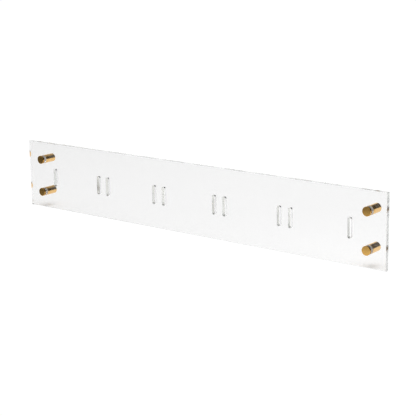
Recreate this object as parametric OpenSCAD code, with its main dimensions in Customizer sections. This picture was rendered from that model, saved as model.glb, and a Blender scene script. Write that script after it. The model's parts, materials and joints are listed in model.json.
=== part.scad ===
// Clear slotted wall panel held by four turned standoffs.
// Origin: on the wall plane, at the centre of the four wall screws.
// +X runs along the panel, +Y points into the wall, +Z is up, so the front faces -Y.

/* [Panel] */
// Length of the panel
panel_w = 635; // [600:1:900]
// Height of the panel
panel_h = 101.6; // [95:0.1:160]
// Thickness of the sheet
panel_t = 5.6; // [4.5:0.1:8]
// Distance of the standoff centres from the end edges
end_inset = 27; // [20:0.5:40]
// Distance of the upper standoff centres from the top edge
top_inset = 27; // [20:0.5:40]
// Hole in the sheet for the stud
stud_hole_d = 9.5; // [9:0.1:10]

/* [Slots] */
// Number of stations along the panel, each with one slot at its left and one at its right
stations = 5; // [1:1:5]
// Distance between the two slots of a station
station_w = 91; // [60:0.5:91]
// Distance between neighbouring slots of two stations
station_gap = 18; // [12:0.5:18]
// Width of a slot
slot_w = 5; // [4.5:0.1:6]
// Length of a slot, over its round ends
slot_l = 27.8; // [20:0.1:40]
// How far the middle of the slots lies below the middle of the standoffs
slot_drop = 0.5; // [0:0.1:5]

/* [Standoffs] */
// Distance between the upper and lower standoffs
standoff_rise = 50.8; // [40:0.1:60]
// Diameter of the barrel and the cap
standoff_d = 12.7; // [12:0.1:16]
// Length of the barrel, which is the gap between wall and washer
barrel_l = 19; // [15:0.5:40]
// Thickness of the solid base of the barrel
base_t = 3; // [2.5:0.1:4]
// Thickness of the cap
cap_t = 3; // [2.6:0.1:6]
// Chamfer around the ends of the barrel and the cap
edge_chamfer = 0.4; // [0.2:0.1:0.6]
// Diameter of each clear washer
washer_d = 12.1; // [11:0.1:12.5]
// Thickness of each clear washer
washer_t = 0.5; // [0.4:0.1:1]

/* [Thread and screw] */
// Outer diameter of the stud's thread
stud_d = 7.9; // [7.6:0.05:7.95]
// Diameter of the tapped bore in the barrel
bore_d = 8; // [8:0.05:8.1]
// Length of thread that the stud has inside the barrel
thread_l = 10; // [6:0.5:10]
// Depth of the stud's seat in the cap
seat_depth = 2; // [1.5:0.1:2.2]
// Hole for the wall screw in the barrel's base
screw_hole_d = 4.2; // [3.5:0.1:5]
// Countersink for the wall screw's head
screw_head_d = 7.2; // [6:0.1:7.6]

/* [Hidden] */
CORNERS = ["top_left", "bottom_left", "top_right", "bottom_right"];
KINDS = ["barrel", "rear_washer", "front_washer", "cap", "stud"];

// A cut runs this far past the face that it goes through
past = 1;
// Sides of a full circle
round_fn = 96;

// Where the four standoffs stand, in X and Z
standoff_x = panel_w / 2 - end_inset;
standoff_z = standoff_rise / 2;
// The stations are a row centred on the panel
station_pitch = station_w + station_gap;
first_station_x = -(stations - 1) / 2 * station_pitch;

// Faces across the stack, from the wall out to the front
barrel_front_y = -barrel_l;
panel_back_y = barrel_front_y - washer_t;
panel_front_y = panel_back_y - panel_t;
cap_back_y = panel_front_y - washer_t;
cap_front_y = cap_back_y - cap_t;

function is_top(corner) = corner == "top_left" || corner == "top_right";
function is_right(corner) = corner == "top_right" || corner == "bottom_right";
function corner_x(corner) = is_right(corner) ? standoff_x : -standoff_x;
function corner_z(corner) = is_top(corner) ? standoff_z : -standoff_z;

// Stands the children on one standoff's axis, at depth y, with their own +Z pointing out to the front
module at_standoff(corner, y = 0)
    translate([corner_x(corner), y, corner_z(corner)])
        rotate([90, 0, 0])
            children();

// The faces of the sheet lie in X and Z, so they are drawn flat and stood up
module stand_up(y)
    translate([0, y, 0])
        rotate([90, 0, 0])
            children();

module slot_outline()
    union() {
        square([slot_w, slot_l - slot_w], center = true);
        for (side = [-1, 1])
            translate([0, side * (slot_l - slot_w) / 2])
                circle(d = slot_w, $fn = round_fn);
    }

module panel_outline()
    difference() {
        translate([-panel_w / 2, standoff_z + top_inset - panel_h])
            square([panel_w, panel_h]);
        for (station = [0 : stations - 1])
            for (side = [-1, 1])
                translate([first_station_x + station * station_pitch + side * station_w / 2, -slot_drop])
                    slot_outline();
        for (corner = CORNERS)
            translate([corner_x(corner), corner_z(corner)])
                circle(d = stud_hole_d, $fn = round_fn);
    }

// A turned round bar with a chamfer around each end
module turned_bar(diameter, length, chamfer)
    rotate_extrude($fn = round_fn)
        polygon([
            [0, 0],
            [diameter / 2 - chamfer, 0],
            [diameter / 2, chamfer],
            [diameter / 2, length - chamfer],
            [diameter / 2 - chamfer, length],
            [0, length]
        ]);

// A bore that starts at height z and runs out past the end of the bar
module bore(diameter, z, length)
    translate([0, 0, z])
        cylinder(d = diameter, h = length, $fn = round_fn);

module clear_washer()
    difference() {
        cylinder(d = washer_d, h = washer_t, $fn = round_fn);
        bore(stud_hole_d, -past, washer_t + 2 * past);
    }

module panel()
    color([0.93, 0.95, 0.96, 0.4])
        stand_up(panel_back_y)
            linear_extrude(height = panel_t)
                panel_outline();

// Screwed flat to the wall: a screw hole in the base, and a tapped bore that its head drops through
module barrel(corner)
    color([0.83, 0.63, 0.28])
        at_standoff(corner)
            difference() {
                turned_bar(standoff_d, barrel_l, edge_chamfer);
                bore(bore_d, base_t, barrel_l);
                bore(screw_hole_d, -past, base_t + 2 * past);
                translate([0, 0, base_t - (screw_head_d - screw_hole_d) / 2])
                    cylinder(d1 = screw_hole_d, d2 = screw_head_d, h = (screw_head_d - screw_hole_d) / 2,
                             $fn = round_fn);
            }

module rear_washer(corner)
    color([0.9, 0.9, 0.9, 0.5])
        at_standoff(corner, barrel_front_y)
            clear_washer();

module front_washer(corner)
    color([0.9, 0.9, 0.9, 0.5])
        at_standoff(corner, panel_front_y)
            clear_washer();

// The cap has a blind seat in its back for the stud
module cap(corner)
    color([0.83, 0.63, 0.28])
        at_standoff(corner, cap_back_y)
            difference() {
                turned_bar(standoff_d, cap_t, edge_chamfer);
                bore(stud_d, -past, seat_depth + past);
            }

// The stud fills the cap's seat and reaches through washers and sheet into the barrel
module stud(corner)
    color([0.78, 0.6, 0.3])
        at_standoff(corner, barrel_front_y + thread_l)
            turned_bar(stud_d, barrel_front_y + thread_l - cap_back_y + seat_depth, edge_chamfer);

panel();
for (corner = CORNERS) {
    barrel(corner);
    rear_washer(corner);
    front_washer(corner);
    cap(corner);
    stud(corner);
}
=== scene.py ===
import json
import math

import bmesh
import bpy
from mathutils import Matrix, Vector


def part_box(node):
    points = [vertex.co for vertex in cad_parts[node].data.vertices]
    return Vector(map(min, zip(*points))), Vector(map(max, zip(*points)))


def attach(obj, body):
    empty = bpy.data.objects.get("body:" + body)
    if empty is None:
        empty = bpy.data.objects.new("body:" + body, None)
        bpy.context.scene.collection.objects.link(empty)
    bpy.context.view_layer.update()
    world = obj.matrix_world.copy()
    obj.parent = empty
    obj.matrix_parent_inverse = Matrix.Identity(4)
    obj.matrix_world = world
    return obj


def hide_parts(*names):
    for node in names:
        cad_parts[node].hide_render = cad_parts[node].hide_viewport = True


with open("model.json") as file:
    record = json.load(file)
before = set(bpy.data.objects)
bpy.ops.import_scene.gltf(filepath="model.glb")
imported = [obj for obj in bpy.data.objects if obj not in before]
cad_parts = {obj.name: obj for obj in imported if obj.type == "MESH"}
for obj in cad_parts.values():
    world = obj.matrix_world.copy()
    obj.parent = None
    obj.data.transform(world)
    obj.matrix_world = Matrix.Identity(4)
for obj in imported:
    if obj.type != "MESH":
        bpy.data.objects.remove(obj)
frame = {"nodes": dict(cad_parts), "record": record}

# A clear slotted wall panel held by four turned brass standoffs, in a plain white studio.
# Everything is in metres. The wall is the plane y = 0, the front faces -Y and +Z is up.

MM = 0.001
SAME_POINT = 0.001 * MM       # points closer than this are merged
ON_PLANE = 1e-7               # a point this near a cutting plane lies on it
ON_RING = 0.01 * MM           # and a point this near a turned ring belongs to the ring
HARD_EDGE = math.radians(30)  # faces that meet at more than this angle keep a hard edge
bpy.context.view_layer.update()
CORNERS = ("top_left", "bottom_left", "top_right", "bottom_right")

# Panel
ARRIS = 0.1 * MM              # the small polished chamfer along every cut edge
CORNER_ROUND = 0.5 * MM       # rounding of the sheet's four corners
OUTLINE_SIDES = 96            # sides of each slot, hole and sheet outline
CUT_REACH = (6 * MM, 18 * MM)  # a slot's or hole's outline is within this of its centre, in X and Z
# Turned metal
TURNED_STEPS = 96             # sides of a turned piece
ROUND_STEPS = 4               # segments of a rounded edge
EDGE_ROUND = 0.38 * MM        # rounding of the outer edges of barrel and cap
INNER_ROUND = 0.15 * MM       # rounding of the edge around the bore
BARREL_BASE = 3 * MM          # thickness of the barrel's base, behind its bore
BORE_PLAY = 0.05 * MM         # gap between stud and bore
SINK_WIDTH = 1.5 * MM         # width of the countersink around the screw hole
SEAT_DEPTH = 2 * MM           # depth of the stud's seat in the cap
# Thread, M8
THREAD_PITCH = 1.25 * MM
THREAD_DEPTH = 0.68 * MM
THREAD_FLAT = THREAD_PITCH / 8  # width of the flat on each crest and at each root
THREAD_STEPS = 40             # sides of one turn of thread
# Washers
FILM = 0.03 * MM              # air film on each side of a washer
WASHER_ROUND = 0.12 * MM


# ---------------------------------------------------------------- mesh tools

def sharpen(bm):
    """Smooth faces, with the hard edges marked."""
    for face in bm.faces:
        face.smooth = True
    for edge in bm.edges:
        edge.smooth = edge.calc_face_angle(0) < HARD_EDGE


def finish_mesh(bm, name):
    """Merges double points, turns the faces outwards and makes the object."""
    bmesh.ops.remove_doubles(bm, verts=bm.verts, dist=SAME_POINT)
    bmesh.ops.recalc_face_normals(bm, faces=bm.faces)
    sharpen(bm)
    mesh = bpy.data.meshes.new(name)
    bm.to_mesh(mesh)
    bm.free()
    piece = bpy.data.objects.new(name, mesh)
    bpy.context.scene.collection.objects.link(piece)
    flat = piece.modifiers.new("flat_faces", "WEIGHTED_NORMAL")
    flat.keep_sharp = True
    return piece


def chain(bm, points):
    """Vertices at these points, joined one to the next."""
    verts = [bm.verts.new(point) for point in points]
    edges = [bm.edges.new(pair) for pair in zip(verts, verts[1:])]
    return verts + edges


def ring_edges(bm, radius, height):
    """The edges of the turned ring of this radius at this height."""
    def on_ring(vert):
        return (abs(vert.co.xy.length - radius) < ON_RING
                and abs(vert.co.z - height) < ON_RING)
    return [edge for edge in bm.edges if all(on_ring(vert) for vert in edge.verts)]


def turned(points, rounds):
    """Turns a profile of (radius, height) points about Z, and rounds some of its edges.

    rounds holds (radius, height, size) for each edge to round. A profile that starts
    and ends on the axis closes at its poles, and any other is joined end to start.
    """
    bm = bmesh.new()
    if points[0][0] > 0:
        points = [*points, points[0]]
    profile = chain(bm, [(radius, 0, height) for radius, height in points])
    bmesh.ops.spin(bm, geom=profile, cent=(0, 0, 0), axis=(0, 0, 1), angle=math.tau,
                   steps=TURNED_STEPS, use_merge=True, use_duplicate=False)
    bmesh.ops.remove_doubles(bm, verts=bm.verts, dist=SAME_POINT)
    for radius, height, size in rounds:
        bmesh.ops.bevel(bm, geom=ring_edges(bm, radius, height), offset=size,
                        offset_type="OFFSET", affect="EDGES", segments=ROUND_STEPS, profile=0.5,
                        material=-1, clamp_overlap=True)
    return bm


def mark_turning(bm):
    """Keeps each point's distance from the lathe's axis and along it, for the tool marks."""
    layer = bm.verts.layers.float_vector.new("turning")
    for vert in bm.verts:
        vert[layer] = (vert.co.xy.length, vert.co.z, 0)


def stand_on_axis(bm, centre, y):
    """Moves a turned piece to a standoff's axis, its Z pointing out to the front."""
    place = Matrix.Translation((centre.x, y, centre.z)) @ Matrix.Rotation(math.pi / 2, 4, "X")
    bmesh.ops.transform(bm, matrix=place, verts=bm.verts)


# ---------------------------------------------------------------- materials

# The Mix node's inputs and its output when it mixes colours
MIX_FACTOR, MIX_A, MIX_B = 0, 6, 7
MIX_COLOUR = 2

# Noise scales, roughly in marks to the metre
TOOL_RINGS = 5200             # rings left by the lathe tool
TOOL_WAVES = 900              # slower waves of the same tool
HANDLING = 160                # marks of handling
THREAD_WEAR = 900
SHEET_CLOUD = 25
VINYL_CLOUD = 900

# Brass
RING_POLISH = 0.1             # the tool's rings are rougher than the rest by up to this much
SEAM_SHADE_TINT = (0.42, 0.32, 0.22)  # painted shade: the brass's own colour is multiplied by this where the cap meets the washer
SEAM_SHADE_FADE = 0.5 * MM          # the painted shade fades out over this height
CAP_SHADE_HEIGHT = 2.6 * MM           # the cap's side is darkened with painted shade up to this height
# Thread colour, from its roots darkened with painted shade to its plain crests
THREAD_RADII = (3.3 * MM, 3.9 * MM)
THREAD_ROOT_SHADE = (0.33, 0.22, 0.10)
THREAD_BRIGHT = (0.83, 0.60, 0.30)
THREAD_ROUGHNESS = (0.22, 0.4)
# Acrylic
ACRYLIC_IOR = 1.49
ACRYLIC_INSIDE = (0.55, 0.62, 0.60)  # colour that light takes on along its way inside the sheet
ACRYLIC_DENSITY = 0.2
ACRYLIC_CLOUD = 0.985         # the sheet's clouds let this much of the clear part's light through
CUT_MARKS = (1, 0.05, 1)      # cut marks are drawn out along the sheet's thickness
# Vinyl
VINYL_IOR = 1.45
VINYL_CLEARNESS = 0.45        # how much of the light goes through instead of scattering
VINYL_ROUGHNESS = (0.3, 0.45)
VINYL_TINTS = ((0.97, 0.97, 0.95), (1.0, 1.0, 0.98))


class Nodes:
    """A material's nodes, with short calls to add and join them."""

    def __init__(self, name):
        self.material = bpy.data.materials.new(name)
        self.material.use_nodes = True
        self.tree = self.material.node_tree
        self.shader = self.tree.nodes["Principled BSDF"]

    def add(self, kind, **settings):
        node = self.tree.nodes.new("ShaderNode" + kind)
        for key, value in settings.items():
            setattr(node, key, value)
        return node

    def join(self, source, target):
        self.tree.links.new(source, target)

    def set(self, **values):
        for key, value in values.items():
            self.shader.inputs[key.replace("_", " ")].default_value = value

    def coordinates(self):
        return self.add("TexCoord").outputs["Object"]

    def stretched(self, source, scale):
        """Coordinates scaled by this much along each axis."""
        mapping = self.add("Mapping")
        mapping.inputs["Scale"].default_value = scale
        self.join(source, mapping.inputs["Vector"])
        return mapping.outputs["Vector"]

    def noise(self, source, scale, detail=3.0):
        texture = self.add("TexNoise")
        texture.inputs["Scale"].default_value = scale
        texture.inputs["Detail"].default_value = detail
        self.join(source, texture.inputs["Vector"])
        return texture.outputs["Fac"]

    def spread(self, source, low, high, start=0.3, end=0.7):
        """A value from low to high as source goes from start to end."""
        node = self.add("MapRange")
        self.join(source, node.inputs["Value"])
        limits = {"From Min": start, "From Max": end, "To Min": low, "To Max": high}
        for key, value in limits.items():
            node.inputs[key].default_value = value
        return node.outputs["Result"]

    def tint(self, source, low, high):
        """A colour between two, as source goes from 0 to 1."""
        mix = self.add("Mix", data_type="RGBA")
        self.join(source, mix.inputs[MIX_FACTOR])
        mix.inputs[MIX_A].default_value = (*low, 1)
        mix.inputs[MIX_B].default_value = (*high, 1)
        return mix.outputs[MIX_COLOUR]

    def darken(self, colour, amount, tint):
        """A colour multiplied by a tint, as amount goes from 0 to 1."""
        mix = self.add("Mix", data_type="RGBA", blend_type="MULTIPLY")
        self.join(amount, mix.inputs[MIX_FACTOR])
        self.join(colour, mix.inputs[MIX_A])
        mix.inputs[MIX_B].default_value = (*tint, 1)
        return mix.outputs[MIX_COLOUR]

    def bump(self, source, height, below=None):
        """Relief of this height in metres, over any other relief."""
        node = self.add("Bump")
        node.inputs["Distance"].default_value = height
        node.inputs["Strength"].default_value = 1.0
        self.join(source, node.inputs["Height"])
        if below is not None:
            self.join(below, node.inputs["Normal"])
        return node.outputs["Normal"]


def let_light_through(n):
    """A clear piece neither shades the floor nor throws glare on it."""
    output = n.tree.nodes["Material Output"].inputs["Surface"]
    clear = n.add("BsdfTransparent").outputs[0]
    path = n.add("LightPath").outputs
    surface = n.shader.outputs[0]
    for ray in ("Is Shadow Ray", "Is Diffuse Ray"):
        pick = n.add("MixShader")
        n.join(path[ray], pick.inputs[0])
        n.join(surface, pick.inputs[1])
        n.join(clear, pick.inputs[2])
        surface = pick.outputs[0]
    n.join(surface, output)


def turned_brass(name, light, dark, polish, groove, shade_height=None):
    """Lathe-turned brass, with rings left by the tool and faint handling marks.

    The side is darkened with painted shade up to the given height, next to what it is screwed to.
    """
    n = Nodes(name)
    turning = n.add("Attribute", attribute_name="turning").outputs["Vector"]
    rings = n.noise(n.stretched(turning, (1, 1, 0)), TOOL_RINGS, detail=2)
    waves = n.noise(n.stretched(turning, (1, 1, 0)), TOOL_WAVES, detail=1)
    hands = n.noise(n.coordinates(), HANDLING, detail=4)
    colour = n.tint(n.spread(hands, 0, 1), light, dark)
    # Painted shade: the side darkens towards what it is screwed to.
    if shade_height is not None:
        height = n.add("SeparateXYZ")
        n.join(turning, height.inputs[0])
        painted_shade = n.spread(height.outputs["Y"], 1, 0, start=shade_height - SEAM_SHADE_FADE, end=shade_height)
        colour = n.darken(colour, painted_shade, SEAM_SHADE_TINT)
    n.join(colour, n.shader.inputs["Base Color"])
    n.join(n.spread(rings, polish, polish + RING_POLISH), n.shader.inputs["Roughness"])
    relief = n.bump(rings, groove)
    n.join(n.bump(waves, 2 * groove, relief), n.shader.inputs["Normal"])
    n.set(Metallic=1.0)
    return n.material


def plated_thread():
    """Brass-plated rolled thread, darkened with painted shade between its crests."""
    n = Nodes("thread_metal")
    turning = n.add("Attribute", attribute_name="turning").outputs["Vector"]
    radius = n.add("SeparateXYZ")
    n.join(turning, radius.inputs[0])
    root, top = THREAD_RADII
    crest = n.spread(radius.outputs["X"], 0, 1, start=root, end=top)
    # Painted shade: the colour darkens from the crests down into the roots.
    n.join(n.tint(crest, THREAD_ROOT_SHADE, THREAD_BRIGHT), n.shader.inputs["Base Color"])
    wear = n.noise(n.coordinates(), THREAD_WEAR)
    n.join(n.spread(wear, *THREAD_ROUGHNESS), n.shader.inputs["Roughness"])
    n.set(Metallic=1.0)
    return n.material


def clear_acrylic(name, tone, polish, haze, streaks, relief):
    """Clear cast sheet.

    Its roughness goes from polish to haze. Streaks are the cut marks that run through
    the sheet's thickness, so many to the metre, and relief is their depth.
    """
    n = Nodes(name)
    cloud = n.noise(n.coordinates(), SHEET_CLOUD)
    marks = n.noise(n.stretched(n.coordinates(), CUT_MARKS), streaks, detail=2)
    n.join(n.spread(cloud, polish, haze), n.shader.inputs["Roughness"])
    n.join(n.bump(marks, relief), n.shader.inputs["Normal"])
    cloudy = [ACRYLIC_CLOUD * part for part in tone]
    n.join(n.tint(cloud, cloudy, tone), n.shader.inputs["Base Color"])
    n.set(IOR=ACRYLIC_IOR, Transmission_Weight=1.0)
    inside = n.add("VolumeAbsorption")
    inside.inputs["Color"].default_value = (*ACRYLIC_INSIDE, 1)
    inside.inputs["Density"].default_value = ACRYLIC_DENSITY
    n.join(inside.outputs[0], n.tree.nodes["Material Output"].inputs["Volume"])
    let_light_through(n)
    return n.material


def clear_vinyl():
    """Soft milky washer."""
    n = Nodes("clear_vinyl")
    cloud = n.noise(n.coordinates(), VINYL_CLOUD)
    n.join(n.spread(cloud, *VINYL_ROUGHNESS), n.shader.inputs["Roughness"])
    n.join(n.tint(cloud, *VINYL_TINTS), n.shader.inputs["Base Color"])
    n.set(IOR=VINYL_IOR, Transmission_Weight=VINYL_CLEARNESS)
    let_light_through(n)
    return n.material


BARREL_BRASS = turned_brass("barrel_brass", light=(0.88, 0.56, 0.22), dark=(0.80, 0.49, 0.17),
                            polish=0.08, groove=0.0004 * MM)
CAP_BRASS = turned_brass("cap_brass", light=(0.88, 0.53, 0.15), dark=(0.78, 0.45, 0.12),
                         polish=0.10, groove=0.001 * MM, shade_height=CAP_SHADE_HEIGHT)
THREAD_METAL = plated_thread()
SHEET_FACE = clear_acrylic("sheet_face", tone=(1.0, 1.0, 1.0), polish=0.0, haze=0.004,
                           streaks=60, relief=0.0)
SHEET_EDGE = clear_acrylic("sheet_edge", tone=(1.0, 1.0, 1.0), polish=0.02, haze=0.12,
                           streaks=1500, relief=0.002 * MM)
SLOT_WALL = clear_acrylic("slot_wall", tone=(0.885, 0.89, 0.855), polish=0.25, haze=0.39,
                          streaks=2500, relief=0.0015 * MM)
WASHER_VINYL = clear_vinyl()


# ---------------------------------------------------------------- panel

def rounded_loop(bm, centre, half_w, half_h, radius, y):
    """A closed loop in the plane y: a rectangle with round corners, a slot or a circle."""
    made = bmesh.ops.create_circle(bm, cap_ends=False, segments=OUTLINE_SIDES,
                                   radius=radius)["verts"]
    half_side = Matrix.Rotation(math.pi / OUTLINE_SIDES, 3, "Z")
    bmesh.ops.rotate(bm, verts=made, cent=(0, 0, 0), matrix=half_side)
    for vert in made:
        across = math.copysign(half_w - radius, vert.co.x)
        up = math.copysign(half_h - radius, vert.co.y)
        vert.co = (centre.x + vert.co.x + across, y, centre.z + vert.co.y + up)
    return sorted({edge for vert in made for edge in vert.link_edges}, key=lambda e: e.index)


def cut_wall(bm, centre, half_w, half_h, radius, depths, grow, slot):
    """The wall of one outline through the sheet, with an arris at each face.

    grow is 1 for a cut that is wider at the faces and -1 for the sheet's own outline.
    Returns the rims at both faces.
    """
    back, front = depths
    inset = grow * ARRIS
    rims = []
    for y, step in ((back, inset), (back - ARRIS, 0), (front + ARRIS, 0), (front, inset)):
        rims.append(rounded_loop(bm, centre, half_w + step, half_h + step, radius + step, y))
    for lower, upper in zip(rims, rims[1:]):
        for face in bmesh.ops.bridge_loops(bm, edges=lower + upper)["faces"]:
            face.material_index = slot
    return rims[0], rims[-1]


def cad_outline(centre):
    """Half width and half height of the cut in the CAD panel around a point."""
    across, up = CUT_REACH
    near = [v.co for v in frame["nodes"]["panel"].data.vertices
            if abs(v.co.x - centre.x) < across and abs(v.co.z - centre.z) < up]
    half_w = max(abs(co.x - centre.x) for co in near)
    half_h = max(abs(co.z - centre.z) for co in near)
    return half_w, half_h


def clear_panel():
    """The sheet, with its outline, slots and stud holes where the CAD has them."""
    low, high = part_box("panel")
    depths = (high.y, low.y)
    bm = bmesh.new()
    middle = (low + high) / 2
    half_w, half_h = (high.x - low.x) / 2, (high.z - low.z) / 2
    rims = [cut_wall(bm, middle, half_w, half_h, CORNER_ROUND, depths, -1, 1)]
    for opening in frame["record"]["physics"]["openings"]:
        if opening["name"].startswith("slot_"):
            box = [Vector(c) for c in opening["box_m"]]
            centre = (box[0] + box[1]) / 2
            half_w, half_h = cad_outline(centre)
            rims.append(cut_wall(bm, centre, half_w, half_h, half_w, depths, 1, 2))
    for name in CORNERS:
        stud_low, stud_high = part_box("stud_" + name)
        centre = (stud_low + stud_high) / 2
        radius = cad_outline(centre)[0]
        rims.append(cut_wall(bm, centre, radius, radius, radius, depths, 1, 2))
    for side in (0, 1):
        edges = [edge for pair in rims for edge in pair[side]]
        bmesh.ops.triangle_fill(bm, use_beauty=True, use_dissolve=False, edges=edges)
    piece = finish_mesh(bm, "polished_panel")
    for material in (SHEET_FACE, SHEET_EDGE, SLOT_WALL):
        piece.data.materials.append(material)
    return piece


# ---------------------------------------------------------------- standoffs

def standoff_sizes(name):
    """Axis, radii and length of one standoff's barrel and stud, from its CAD nodes."""
    barrel_low, barrel_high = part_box("barrel_" + name)
    stud_low, stud_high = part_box("stud_" + name)
    return {
        "axis": (barrel_low + barrel_high) / 2,
        "radius": (barrel_high.x - barrel_low.x) / 2,
        "length": barrel_high.y - barrel_low.y,
        "stud_radius": (stud_high.x - stud_low.x) / 2,
    }


def turned_barrel(name):
    """Barrel with a countersunk screw hole in its base and a bore for the stud."""
    size = standoff_sizes(name)
    radius, length = size["radius"], size["length"]
    bore = size["stud_radius"] + BORE_PLAY
    screws = next(m for m in frame["record"]["mounts"] if m["name"] == "wall_screws")
    hole = screws["dims"]["hole_r_mm"] * MM
    sink = hole + SINK_WIDTH
    base = BARREL_BASE
    bm = turned(
        [(hole, 0), (radius, 0), (radius, length), (bore, length), (bore, base),
         (sink, base), (hole, base - (sink - hole))],
        [(radius, 0, EDGE_ROUND), (radius, length, EDGE_ROUND), (bore, length, INNER_ROUND)],
    )
    mark_turning(bm)
    stand_on_axis(bm, size["axis"], 0)
    return finish_mesh(bm, "turned_barrel_" + name)


def turned_cap(name):
    """Cap with a blind seat behind for the stud."""
    size = standoff_sizes(name)
    cap_low, cap_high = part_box("cap_" + name)
    radius, thick = size["radius"], cap_high.y - cap_low.y
    seat = size["stud_radius"]
    bm = turned(
        [(0, SEAT_DEPTH), (seat, SEAT_DEPTH), (seat, 0), (radius, 0), (radius, thick), (0, thick)],
        [(radius, 0, EDGE_ROUND), (radius, thick, EDGE_ROUND)],
    )
    mark_turning(bm)
    stand_on_axis(bm, size["axis"], cap_high.y)
    return finish_mesh(bm, "turned_cap_" + name)


def threaded_stud(name):
    """A rolled thread, swept along its helix and cut square at both ends."""
    low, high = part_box("stud_" + name)
    crest = (high.x - low.x) / 2
    root = crest - THREAD_DEPTH
    length = high.y - low.y
    turns = math.ceil(length / THREAD_PITCH) + 2
    flat = THREAD_FLAT
    slope = (THREAD_PITCH - 2 * flat) / 2
    start = -THREAD_PITCH
    bm = bmesh.new()
    profile = chain(bm, [
        (root, 0, start), (root, 0, start + flat), (crest, 0, start + flat + slope),
        (crest, 0, start + 2 * flat + slope), (root, 0, start + THREAD_PITCH),
    ])
    steps = turns * THREAD_STEPS
    bmesh.ops.spin(bm, geom=profile, cent=(0, 0, 0), axis=(0, 0, 1), angle=turns * math.tau,
                   dvec=(0, 0, THREAD_PITCH / THREAD_STEPS), steps=steps,
                   use_merge=False, use_duplicate=False)
    bmesh.ops.remove_doubles(bm, verts=bm.verts, dist=SAME_POINT)
    for height, outwards in ((0, -1), (length, 1)):
        bmesh.ops.bisect_plane(bm, geom=bm.verts[:] + bm.edges[:] + bm.faces[:],
                               dist=ON_PLANE, plane_co=(0, 0, height),
                               plane_no=(0, 0, outwards), clear_outer=True)
        rim = [edge for edge in bm.edges
               if edge.is_boundary and all(abs(v.co.z - height) < SAME_POINT for v in edge.verts)]
        bmesh.ops.edgeloop_fill(bm, edges=rim)
    mark_turning(bm)
    stand_on_axis(bm, (low + high) / 2, high.y)
    return finish_mesh(bm, "threaded_stud_" + name)


def washer_ring(node):
    """Thin ring with softly rounded edges and an air film on both sides."""
    low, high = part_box(node)
    outer = (high.x - low.x) / 2
    centre = (low + high) / 2
    inner = min(Vector((v.co.x - centre.x, v.co.z - centre.z)).length
                for v in frame["nodes"][node].data.vertices)
    thick = high.y - low.y - 2 * FILM
    rounds = [(r, h, WASHER_ROUND) for r in (inner, outer) for h in (0, thick)]
    bm = turned([(inner, 0), (outer, 0), (outer, thick), (inner, thick)], rounds)
    stand_on_axis(bm, centre, high.y - FILM)
    return finish_mesh(bm, "clear_" + node)


def dress(piece, material, body, slot, *nodes):
    """Gives a finished piece its material, its body and the CAD nodes that it stands for."""
    if material is not None:
        piece.data.materials.append(material)
    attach(piece, body)
    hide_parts(*nodes)


def body_with(node):
    """The CAD body that holds a node."""
    bodies = frame["record"]["behaviour"]["bodies"]
    return next(body for body, nodes in bodies.items() if node in nodes)


def build_object():
    """All 21 pieces, each on its body."""
    dress(clear_panel(), None, body_with("panel"), "clear_acrylic", "panel")
    for name in CORNERS:
        for make, kind, material, slot in (
            (turned_barrel, "barrel_", BARREL_BRASS, "polished_brass"),
            (turned_cap, "cap_", CAP_BRASS, "turned_brass"),
            (threaded_stud, "stud_", THREAD_METAL, "plated_stud"),
        ):
            node = kind + name
            dress(make(name), material, body_with(node), slot, node)
        for kind in ("front_washer_", "rear_washer_"):
            node = kind + name
            dress(washer_ring(node), WASHER_VINYL, body_with(node), "clear_vinyl", node)


# ---------------------------------------------------------------- studio

FLOOR_SIZE = 60.0
FLOOR_GAP = 0.1 * MM          # the floor lies this far below the panel's bottom edge
FLOOR_PAINT = 0.8
FLOOR_GLOW = 0.335            # light that the floor gives off besides what falls on it
BACKDROP = 1.03               # white that the camera sees behind the part
SOFTBOX_SIZE = 2.0
SOFTBOX_HEIGHT = 2.5
SOFTBOX_WATTS = 32.0
SOFTBOX_PLACE = (0.3, 0.1)    # above this X and Y
# Reflections see a white studio that has two dim parts, each bounded by tilted lines.
DIM = 0.07                    # brightness of both, where the rest is 1
# One is the room above the backdrop,
ROOM_TILT = Vector((0.4, -0.313, 1.0))
ROOM_BLUR = (-0.03, 0.07)
# which turns grey again towards its ceiling.
CEILING = 0.42
CEILING_TILT = Vector((-0.3, 0.0, 1.0))
CEILING_BLUR = (0.60, 0.68)
# The other is a strip in front, between the table's edge and the light overhead.
TABLE_EDGE = Vector((-0.174, -0.19, 1.0))
TABLE_BLUR = (-0.045, 0.01)
STRIP_TOP = (0.02, 0.14)
STRIP_SIDES = (0.2, 0.5)


def white_floor():
    """A white floor under the part, which shows plain white to the camera."""
    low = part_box("panel")[0]
    bm = bmesh.new()
    bmesh.ops.create_grid(bm, x_segments=1, y_segments=1, size=FLOOR_SIZE / 2)
    bmesh.ops.translate(bm, verts=bm.verts, vec=(0, 0, low.z - FLOOR_GAP))
    floor = finish_mesh(bm, "floor")
    n = Nodes("white_floor")
    lit = n.add("AddShader")
    paint = n.add("BsdfDiffuse")
    paint.inputs["Color"].default_value = (FLOOR_PAINT, FLOOR_PAINT, FLOOR_PAINT, 1)
    glow = n.add("Emission")
    glow.inputs["Strength"].default_value = FLOOR_GLOW
    n.join(paint.outputs[0], lit.inputs[0])
    n.join(glow.outputs[0], lit.inputs[1])
    plain = n.add("Emission")
    plain.inputs["Strength"].default_value = BACKDROP
    pick = n.add("MixShader")
    n.join(n.add("LightPath").outputs["Is Camera Ray"], pick.inputs[0])
    n.join(lit.outputs[0], pick.inputs[1])
    n.join(plain.outputs[0], pick.inputs[2])
    n.join(pick.outputs[0], n.tree.nodes["Material Output"].inputs["Surface"])
    floor.data.materials.append(n.material)
    floor.visible_glossy = False
    floor.visible_shadow = False


def softbox():
    """One large soft light overhead."""
    data = bpy.data.lights.new("softbox", "AREA")
    data.shape = "DISK"
    data.size = SOFTBOX_SIZE
    data.energy = SOFTBOX_WATTS
    lamp = bpy.data.objects.new("softbox", data)
    lamp.location = (*SOFTBOX_PLACE, SOFTBOX_HEIGHT)
    lamp.visible_glossy = False
    lamp.visible_transmission = False
    lamp.visible_camera = False
    bpy.context.scene.collection.objects.link(lamp)


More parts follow.
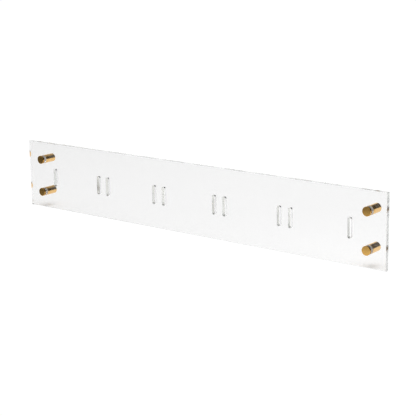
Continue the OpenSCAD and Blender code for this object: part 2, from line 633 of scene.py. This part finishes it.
def studio_light():
    """A white world whose reflections have dim parts, as a real studio has."""
    world = bpy.data.worlds.new("studio")
    bpy.context.scene.world = world
    world.use_nodes = True
    nodes, links = world.node_tree.nodes, world.node_tree.links

    def add(kind, first, second, operation):
        """A math or vector math node on two inputs, each a socket or a value."""
        node = nodes.new("ShaderNode" + kind)
        node.operation = operation
        for socket, value in zip(node.inputs, (first, second)):
            if isinstance(value, bpy.types.NodeSocket):
                links.new(value, socket)
            else:
                socket.default_value = value
        return node.outputs["Value"]

    def fade(value, start, end):
        """From 0 to 1 as a value goes from start to end, which may be the lower one."""
        node = nodes.new("ShaderNodeMapRange")
        node.interpolation_type = "SMOOTHSTEP"
        node.inputs["From Min"].default_value = start
        node.inputs["From Max"].default_value = end
        links.new(value, node.inputs["Value"])
        return node.outputs["Result"]

    way = nodes.new("ShaderNodeTexCoord").outputs["Generated"]
    axes = nodes.new("ShaderNodeSeparateXYZ")
    links.new(way, axes.inputs[0])
    x, y, z = axes.outputs
    mirrored = nodes.new("ShaderNodeCombineXYZ")
    links.new(x, mirrored.inputs[0])
    links.new(add("Math", y, 0, "ABSOLUTE"), mirrored.inputs[1])
    links.new(z, mirrored.inputs[2])

    room = fade(add("VectorMath", mirrored.outputs[0], ROOM_TILT, "DOT_PRODUCT"), *ROOM_BLUR)
    strip = fade(add("VectorMath", way, TABLE_EDGE, "DOT_PRODUCT"), *TABLE_BLUR)
    strip = add("Math", strip, fade(z, *reversed(STRIP_TOP)), "MULTIPLY")
    strip = add("Math", strip, fade(y, -STRIP_SIDES[0], -STRIP_SIDES[1]), "MULTIPLY")
    dimming = add("Math", add("Math", room, strip, "MAXIMUM"), 1 - DIM, "MULTIPLY")
    light = add("Math", 1.0, dimming, "SUBTRACT")
    ceiling = fade(add("VectorMath", way, CEILING_TILT, "DOT_PRODUCT"), *CEILING_BLUR)
    ceiling = add("Math", ceiling, CEILING - DIM, "MULTIPLY")
    light = add("Math", light, ceiling, "ADD")

    pick = nodes.new("ShaderNodeMix")
    pick.data_type = "FLOAT"
    to_camera = nodes.new("ShaderNodeLightPath").outputs["Is Camera Ray"]
    links.new(to_camera, pick.inputs["Factor"])
    links.new(light, pick.inputs["A"])
    pick.inputs["B"].default_value = BACKDROP
    background = nodes["Background"]
    background.inputs["Color"].default_value = (1, 1, 1, 1)
    links.new(pick.outputs[0], background.inputs["Strength"])


# ---------------------------------------------------------------- camera

AZIMUTH = math.radians(38.52)
ELEVATION = math.radians(13.81)
ROLL = math.radians(-0.95)
DISTANCE = 1.6218
SENSOR = 36                   # width in mm
LENS = 101.4                  # focal length in mm
AIM = Vector((0.0359, 0, -0.0078))  # from the middle of the panel's front face
FAR = 200                     # the camera sees this far


def camera():
    """The main camera, aimed from the middle of the panel's front face."""
    low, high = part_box("panel")
    front = Vector(((low.x + high.x) / 2, low.y, (low.z + high.z) / 2))
    target = front + AIM
    away = Vector((math.sin(AZIMUTH) * math.cos(ELEVATION),
                   -math.cos(AZIMUTH) * math.cos(ELEVATION),
                   math.sin(ELEVATION)))
    data = bpy.data.cameras.new("camera")
    data.lens = LENS
    data.sensor_width = SENSOR
    data.clip_end = FAR
    eye = bpy.data.objects.new("camera", data)
    eye.location = target + DISTANCE * away
    turn = (-away).to_track_quat("-Z", "Y").to_matrix().to_4x4()
    eye.rotation_euler = (turn @ Matrix.Rotation(ROLL, 4, "Z")).to_euler()
    bpy.context.scene.collection.objects.link(eye)
    bpy.context.scene.camera = eye


BOUNCES = 256                 # enough for light that is trapped inside the sheet


def light_paths():
    """Plain colours and long light paths."""
    bpy.context.scene.view_settings.view_transform = "Standard"
    cycles = bpy.context.scene.cycles
    cycles.max_bounces = BOUNCES
    cycles.glossy_bounces = BOUNCES
    cycles.transmission_bounces = BOUNCES


build_object()
white_floor()
softbox()
studio_light()
camera()
light_paths()
bpy.context.view_layer.update()
